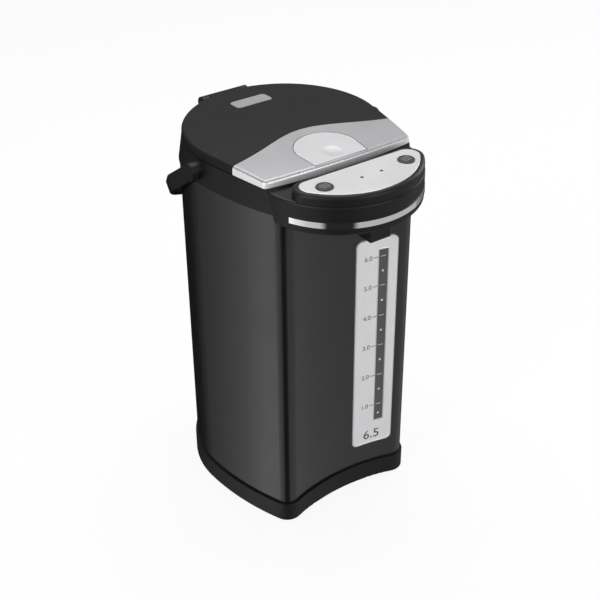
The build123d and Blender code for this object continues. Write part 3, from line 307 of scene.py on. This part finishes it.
def moulded(name, colour, clean, dull, grain=0.25, lift=1.25, scale=1400.0, **sockets):
    """Moulded plastic or rubber: a fine grain, a slow change of shade, faint smears."""
    made, tree, shader = finish_of(name, **sockets)
    skin = placed(tree, moulding_grain, Scale=scale)
    light = tuple(min(1, c * lift) for c in colour)
    tree.links.new(mixed(tree, skin.outputs["Shade"], colour, light),
                   shader.inputs["Base Color"])
    smeared(tree, shader, clean, dull)
    bump(tree, shader, skin.outputs["Height"], grain, GRAIN_DEPTH)
    return made


def flake_painted(name, dark, light, clean, dull, painted_light_and_shade=False, **sockets):
    """Silver paint with metal flakes; with painted light and shade, its upright sides get a painted
    highlight and its groove walls painted shade.
    """
    made, tree, shader = finish_of(name, **sockets)
    flakes = placed(tree, paint_flakes, Dark=(*dark, 1), Light=(*light, 1))
    colour = flakes.outputs["Color"]
    if painted_light_and_shade:
        faces = placed(tree, upright_faces)
        # painted light: the upright outer sides are lightened as if lit from the side
        colour = mixed(tree, faces.outputs["Outside"], colour, grey(SIDE_PAINTED_LIGHT))
        # painted shade: the walls of the lever's groove are darkened where shade falls
        colour = mixed(tree, faces.outputs["Groove"], colour, grey(GROOVE_PAINTED_SHADE))
    tree.links.new(colour, shader.inputs["Base Color"])
    smeared(tree, shader, clean, dull)
    bump(tree, shader, flakes.outputs["Height"], FLAKE_STRENGTH, FLAKE_DEPTH)
    return made


def brushed(name, dark, light, stretch, clean, dull, strength=0.15, **sockets):
    """Brushed metal, bare or under a thin coat."""
    made, tree, shader = finish_of(name, **sockets)
    lines = placed(tree, brushing, Stretch=stretch, Dark=(*dark, 1), Light=(*light, 1))
    tree.links.new(lines.outputs["Color"], shader.inputs["Base Color"])
    smeared(tree, shader, clean, dull)
    bump(tree, shader, lines.outputs["Height"], strength, BRUSH_DEPTH)
    return made


ROUND_LINES = (60, 60, 2600)       # brushed round an upright axis
UPRIGHT_LINES = (2600, 2600, 40)
FLAT_LINES = (2600, 40, 2600)
CAST_GRAIN = (400, 400, 400)

finishes = {
    "body_black": brushed("satin_black_body", grey(0.005), grey(0.009), ROUND_LINES, 0.20, 0.27,
                          0.1, Metallic=0.2, Specular_IOR_Level=0.9),
    "head_black": moulded("black_head_moulding", grey(0.006), 0.40, 0.50, Specular_IOR_Level=0.25),
    "lid_black": moulded("black_lid_moulding", grey(0.006), 0.46, 0.56, Specular_IOR_Level=0.2),
    "base_black": moulded("black_base_moulding", grey(0.006), 0.44, 0.54, Specular_IOR_Level=0.25),
    "bail_black": moulded("black_bail_moulding", grey(0.006), 0.42, 0.52, Specular_IOR_Level=0.25),
    "chassis_black": moulded("black_inner_moulding", grey(0.018), 0.48, 0.58),
    "button_dark": moulded("dark_key", grey(0.02), 0.34, 0.42),
    "foot_rubber": moulded("foot_rubber", grey(0.016), 0.7, 0.8, 0.5),
    "seal_rubber": moulded("pale_silicone", (0.55, 0.54, 0.51), 0.45, 0.55, 0.15, 1.06,
                           Subsurface_Weight=0.08),
    "hose_rubber": moulded("hose_silicone", (0.62, 0.60, 0.55), 0.38, 0.46, 0.1, 1.06,
                           Subsurface_Weight=0.1),
    "spring_rubber": moulded("key_silicone", (0.5, 0.5, 0.5), 0.5, 0.6, 0.2, 1.08),
    "jacket_felt": moulded("insulating_felt", (0.60, 0.57, 0.48), 0.85, 0.95, 1.0, 1.2, 600.0,
                           Sheen_Weight=0.4),
    "pump_white": moulded("pump_housing", (0.68, 0.68, 0.64), 0.4, 0.5, 0.2, 1.05),
    "impeller_white": moulded("impeller_nylon", (0.74, 0.74, 0.70), 0.35, 0.45, 0.15, 1.05),
    "board_green": moulded("lacquered_board", (0.02, 0.13, 0.045), 0.25, 0.35, 0.3, 1.4),
    "lamp_red": moulded("red_lens", (0.16, 0.005, 0.006), 0.12, 0.2, 0.05, 1.3, Coat_Weight=0.5),
    "lamp_dark": moulded("smoked_lens", (0.05, 0.05, 0.045), 0.12, 0.2, 0.05, 1.3,
                         Coat_Weight=0.5),
    "gauge_dark": moulded("smoked_window", grey(0.055), 0.10, 0.18, 0.04, 1.2,
                          Coat_Weight=0.4),
    "band_silver": flake_painted("silver_band_paint_with_painted_light_and_shade", (0.32, 0.32, 0.33), (0.42, 0.42, 0.43),
                                 0.36, 0.44, painted_light_and_shade=True, Metallic=0.4),
    "lever_silver": flake_painted("silver_lever_paint_with_painted_light_and_shade", (0.46, 0.46, 0.47), (0.56, 0.56, 0.57),
                                  0.42, 0.50, painted_light_and_shade=True, Metallic=0.3),
    "panel_silver": flake_painted("silver_panel_paint", (0.58, 0.58, 0.59), (0.72, 0.72, 0.73),
                                  0.32, 0.40, Metallic=0.4, Coat_Weight=0.2,
                                  Coat_Roughness=0.25),
    "badge_silver": brushed("bright_badge", grey(0.34), grey(0.42), FLAT_LINES, 0.30, 0.38,
                            0.05, Metallic=0.4),
    "gauge_silver": brushed("satin_gauge_plate", grey(0.88), grey(0.94), UPRIGHT_LINES, 0.34,
                            0.42, 0.05, Metallic=0.6),
    "trim_chrome": brushed("polished_trim", grey(0.92), grey(0.96), ROUND_LINES, 0.05, 0.09,
                           0.02, Metallic=1.0),
    "pot_steel": brushed("stainless_pot", grey(0.52), grey(0.64), ROUND_LINES, 0.22, 0.32,
                         Metallic=1.0, Anisotropic=0.4),
    "pin_steel": brushed("drawn_steel", grey(0.42), grey(0.52), FLAT_LINES, 0.25, 0.35,
                         Metallic=1.0),
    "screw_steel": brushed("plated_screws", grey(0.45), grey(0.55), FLAT_LINES, 0.25, 0.35,
                           Metallic=1.0),
    "motor_steel": brushed("motor_can", grey(0.38), grey(0.48), ROUND_LINES, 0.3, 0.4,
                           Metallic=1.0),
    "rotor_steel": brushed("turned_rotor", grey(0.34), grey(0.44), ROUND_LINES, 0.3, 0.4,
                           Metallic=1.0),
    "thermostat_steel": brushed("thermostat_can", grey(0.42), grey(0.5), ROUND_LINES, 0.3, 0.4,
                                Metallic=1.0),
    "heater_alloy": brushed("cast_heater", grey(0.42), grey(0.55), CAST_GRAIN, 0.45, 0.6,
                            0.6, Metallic=0.9),
    "pin_brass": brushed("plated_brass", (0.55, 0.42, 0.2), (0.68, 0.53, 0.28), FLAT_LINES, 0.2,
                         0.3, Metallic=1.0),
}


def clear_glass():
    """Clear glass of the sight tube, a little dulled by lime."""
    made, tree, shader = finish_of("sight_glass", Transmission_Weight=0.9, IOR=1.47,
                                   Metallic=0.0)
    shader.inputs["Base Color"].default_value = (0.93, 0.96, 0.96, 1)
    smeared(tree, shader, 0.04, 0.16)
    return made


finishes["tube_glass"] = clear_glass()
print_black = moulded("black_print", grey(0.012), 0.45, 0.55, 0.1)
print_white = moulded("white_print", grey(0.62), 0.45, 0.55, 0.1, 1.05)
print_grey = moulded("grey_print", grey(0.26), 0.45, 0.55, 0.1, 1.05)

for part in frame["record"]["subparts"]:
    for place in frame["nodes"][part["node"]].material_slots:
        place.material = finishes[part["material_slot"]]


# ------------------------------------------------------------------ piece tools
SAME_PLACE = 0.001 * MM


def piece(name, mesh_builder, finish, body):
    """A finished piece from its bmesh, riding on a body."""
    mesh = bpy.data.meshes.new(name)
    mesh_builder.to_mesh(mesh)
    mesh_builder.free()
    mesh.materials.append(finish)
    made = bpy.data.objects.new(name, mesh)
    scene.collection.objects.link(made)
    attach(made, body)
    return made


def lettering(text, size, thick):
    """Numbers as a closed mesh, flat in XY and centred."""
    curve = bpy.data.curves.new("numbers", "FONT")
    curve.body = text
    curve.size = size
    curve.extrude = thick / 2
    curve.align_x, curve.align_y = "CENTER", "CENTER"
    holder = bpy.data.objects.new("numbers", curve)
    scene.collection.objects.link(holder)
    bpy.context.view_layer.update()
    flat = bpy.data.meshes.new_from_object(
        holder.evaluated_get(bpy.context.evaluated_depsgraph_get()))
    made = bmesh.new()
    made.from_mesh(flat)
    bmesh.ops.remove_doubles(made, verts=made.verts, dist=SAME_PLACE)
    bpy.data.objects.remove(holder)
    bpy.data.meshes.remove(flat)
    return made


def join(target, other):
    """Adds one bmesh to another."""
    held = bpy.data.meshes.new("held")
    other.to_mesh(held)
    other.free()
    target.from_mesh(held)
    bpy.data.meshes.remove(held)


# ------------------------------------------------------------------ level gauge
GAUGE_ARC = 203.91 * MM           # the body's hollow front
GAUGE_ARC_Y = POT_Y - 97.7 * MM - GAUGE_ARC
PLATE = 0.9 * MM
PLATE_HALF = 22.0 * MM
PLATE_X = 36.4 * MM
PLATE_LOW, PLATE_HIGH = 47.5 * MM, 295 * MM
PLATE_CORNER = 6 * MM
PLATE_RIM = 0.8 * MM
WINDOW = 0.6 * MM                 # the window's face stands out less than the plate's
SLOT_X = 43.8 * MM
SLOT_LOW, SLOT_HIGH = 76.5 * MM, 281.7 * MM
SLOT_HALF = 4.8 * MM
SLOT_CORNER = 1.2 * MM
SLOT_RIM = 0.9 * MM
RIM_RISE = 0.25 * MM
CORNER_STEPS = 6
BEND_CUTS = 6

PRINT = 0.12 * MM
LITRES = [height * MM for height in (96.5, 134.2, 170.7, 206.1, 241.1, 273.8)]
NUMBER_X, NUMBER_SIZE = 27.8 * MM, 7.2 * MM
TICK_X, TICK_HALF = 33.6 * MM, 0.35 * MM
TICK_GAP = 0.4 * MM
CAPACITY_X, CAPACITY_Z, CAPACITY_SIZE = 36.6 * MM, 58.3 * MM, 15.5 * MM
DOT_RADIUS = 1.1 * MM
LOWEST_DOT = LITRES[0] - 12 * MM
FINE_TICK_REACH, FINE_TICK_HALF = 2.6 * MM, 0.25 * MM


def bend_on_gauge(made, rise):
    """Lays a flat shape (X across, Y up, Z outwards) on the hollow front, so far out."""
    for vertex in made.verts:
        x, z, out = vertex.co
        vertex.co = (x, GAUGE_ARC_Y + math.sqrt((GAUGE_ARC - rise) ** 2 - x * x) - out, z)


def flat_bar(made, x0, x1, middle, half):
    """A thin printed bar in the flat gauge drawing."""
    bar = bmesh.ops.create_cube(made, size=1.0)["verts"]
    bmesh.ops.scale(made, vec=(x1 - x0, 2 * half, PRINT), verts=bar)
    bmesh.ops.translate(made, vec=((x0 + x1) / 2, middle, 0), verts=bar)


def add_number(drawing, text, size, x, z):
    """A printed number in the flat gauge drawing."""
    number = lettering(text, size, PRINT)
    bmesh.ops.translate(number, vec=(x, z, 0), verts=number.verts)
    join(drawing, number)


def gauge_print():
    """Litre numbers, their ticks and the large capacity number."""
    drawing = bmesh.new()
    for litre, height in enumerate(LITRES, 1):
        add_number(drawing, f"{litre}.0", NUMBER_SIZE, NUMBER_X, height)
        flat_bar(drawing, TICK_X, SLOT_X - SLOT_HALF - TICK_GAP, height, TICK_HALF)
    add_number(drawing, "6.5", CAPACITY_SIZE, CAPACITY_X, CAPACITY_Z)
    bend_on_gauge(drawing, PLATE)
    bmesh.ops.recalc_face_normals(drawing, faces=drawing.faces)
    piece("gauge_print", drawing, print_black, "pot")


def gauge_dots():
    """White half-litre dots and the full ticks inside the window."""
    drawing = bmesh.new()
    halves = [(a + b) / 2 for a, b in zip(LITRES, LITRES[1:])]
    for height in [LOWEST_DOT] + halves:
        dot = bmesh.ops.create_cone(drawing, cap_ends=True, segments=20, radius1=DOT_RADIUS,
                                    radius2=DOT_RADIUS, depth=PRINT)["verts"]
        bmesh.ops.translate(drawing, vec=(SLOT_X, height, 0), verts=dot)
    for height in LITRES:
        flat_bar(drawing, SLOT_X - FINE_TICK_REACH, SLOT_X + FINE_TICK_REACH, height,
                 FINE_TICK_HALF)
    bend_on_gauge(drawing, WINDOW)
    piece("gauge_dots", drawing, print_white, "pot")


def rounded_rim(name, middle_x, half_x, low, high, corner, width):
    """A raised rim with rounded corners on the gauge plate."""
    flat = bmesh.new()
    bmesh.ops.create_grid(flat, x_segments=1, y_segments=1, size=1.0)
    bmesh.ops.scale(flat, vec=(half_x, (high - low) / 2, 1), verts=flat.verts)
    bmesh.ops.translate(flat, vec=(middle_x, (high + low) / 2, 0), verts=flat.verts)
    bmesh.ops.bevel(flat, geom=flat.verts[:], offset=corner, segments=CORNER_STEPS, profile=0.5,
                    affect="VERTICES", material=-1)
    bmesh.ops.inset_region(flat, faces=flat.faces[:], thickness=width, use_boundary=True,
                           use_even_offset=True)
    inner = max(flat.faces, key=lambda face: len(face.verts))
    bmesh.ops.delete(flat, geom=[inner], context="FACES_ONLY")
    # only the long level edges cross the curve, so only they are cut to follow it
    across = [edge for edge in flat.edges
              if abs(edge.verts[0].co.y - edge.verts[1].co.y) < SAME_PLACE
              and edge.calc_length() > half_x]
    bmesh.ops.subdivide_edges(flat, edges=across, cuts=BEND_CUTS, use_grid_fill=True)
    wall = bmesh.ops.extrude_face_region(flat, geom=flat.faces[:])["geom"]
    bmesh.ops.translate(flat, vec=(0, 0, RIM_RISE),
                        verts=[v for v in wall if isinstance(v, bmesh.types.BMVert)])
    bend_on_gauge(flat, PLATE)
    bmesh.ops.recalc_face_normals(flat, faces=flat.faces)
    piece(name, flat, finishes["trim_chrome"], "pot")


gauge_print()
gauge_dots()
rounded_rim("gauge_rim", PLATE_X, PLATE_HALF, PLATE_LOW, PLATE_HIGH, PLATE_CORNER, PLATE_RIM)
rounded_rim("slot_rim", SLOT_X, SLOT_HALF + SLOT_RIM, SLOT_LOW - SLOT_RIM, SLOT_HIGH + SLOT_RIM,
            SLOT_CORNER, SLOT_RIM)


# ------------------------------------------------------------------ keys
KEY_X, KEY_Y, KEY_TOP = 44.8 * MM, POT_Y - 128.8 * MM, 386.1 * MM
RIB_HALVES = (4.2 * MM, 5.4 * MM, 4.2 * MM)
RIB_THICK, RIB_HIGH, RIB_PITCH = 0.7 * MM, 0.3 * MM, 2.8 * MM


def key_ribs(name, body, x):
    """Three fine pale ribs across a key, for the finger to find."""
    ribs = bmesh.new()
    for step, half in zip((-1, 0, 1), RIB_HALVES):
        bar = bmesh.ops.create_cube(ribs, size=1.0)["verts"]
        bmesh.ops.scale(ribs, vec=(2 * half, RIB_THICK, RIB_HIGH), verts=bar)
        bmesh.ops.translate(ribs, vec=(x, KEY_Y + step * RIB_PITCH, KEY_TOP), verts=bar)
    piece(name, ribs, print_grey, body)


key_ribs("boil_key_ribs", "boil_key", -KEY_X)
key_ribs("dispense_key_ribs", "dispense_key", KEY_X)


# ------------------------------------------------------------------ floor and sky
SKY_STRENGTH = 0.30
FLOOR_HALF = 30.0
FLOOR_GLOW = 0.9                  # how much of the floor's look is plain white light
# how bright the studio is in a reflection, by the compass angle that the reflection looks at
STUDIO = [(0, 0.3), (40, 0.0), (108, 0.02), (134, 0.3), (152, 0.62), (165, 1.25), (180, 0.8),
          (198, 0.56), (214, 0.5), (222, 0.02), (256, 0.02), (264, 0.46), (346, 0.46)]
TURN = 360
BRIGHTEST = 2.0


def studio_bands(tree):
    """Softboxes and dark screens round the pot, as a mirror-like surface sees them in the floor."""
    seen_from = axes(tree, tree.nodes.new("ShaderNodeNewGeometry").outputs["Incoming"])
    angle = maths(tree, "ARCTAN2", seen_from["Y"], seen_from["X"])
    # a reflection looks half a turn away from where it is seen from
    turn = maths(tree, "MULTIPLY_ADD", angle, 0.5 / math.pi, 0.5)
    ramp = tree.nodes.new("ShaderNodeValToRGB")
    tree.links.new(turn, ramp.inputs["Fac"])
    stops = ramp.color_ramp.elements
    for index, (degrees, level) in enumerate(STUDIO):
        # a new ramp has two stops already
        stop = stops[index] if index < 2 else stops.new(degrees / TURN)
        stop.position = degrees / TURN
        stop.color = (*[level / BRIGHTEST] * 3, 1)
    return maths(tree, "MULTIPLY", ramp.outputs["Color"], BRIGHTEST)


def floor():
    """A wide pale floor that shows white and keeps the pot's shadow."""
    flat = bmesh.new()
    bmesh.ops.create_grid(flat, x_segments=1, y_segments=1, size=FLOOR_HALF)
    mesh = bpy.data.meshes.new("floor")
    flat.to_mesh(mesh)
    flat.free()
    made = bpy.data.objects.new("floor", mesh)
    scene.collection.objects.link(made)
    pale, tree, shader = finish_of("pale_floor", Roughness=0.9, Specular_IOR_Level=0.1)
    shader.inputs["Base Color"].default_value = (0.82, 0.82, 0.82, 1)
    rays = tree.nodes.new("ShaderNodeLightPath").outputs
    seen = maths(tree, "MAXIMUM", rays["Is Camera Ray"], rays["Is Transmission Ray"])
    share = maths(tree, "MAXIMUM", maths(tree, "MULTIPLY", seen, FLOOR_GLOW),
                  rays["Is Glossy Ray"])
    strength = tree.nodes.new("ShaderNodeMix")
    tree.links.new(rays["Is Glossy Ray"], strength.inputs["Factor"])
    strength.inputs["A"].default_value = 1.0
    tree.links.new(studio_bands(tree), strength.inputs["B"])
    white = tree.nodes.new("ShaderNodeEmission")
    tree.links.new(strength.outputs["Result"], white.inputs["Strength"])
    blend = tree.nodes.new("ShaderNodeMixShader")
    tree.links.new(share, blend.inputs[0])
    tree.links.new(shader.outputs[0], blend.inputs[1])
    tree.links.new(white.outputs[0], blend.inputs[2])
    tree.links.new(blend.outputs[0], tree.nodes["Material Output"].inputs["Surface"])
    mesh.materials.append(pale)


def sky():
    """An even pale surround."""
    world = bpy.data.worlds.new("surround")
    world.use_nodes = True
    light = world.node_tree.nodes["Background"].inputs
    light["Color"].default_value = (1, 1, 1, 1)
    light["Strength"].default_value = SKY_STRENGTH
    scene.world = world


floor()
sky()
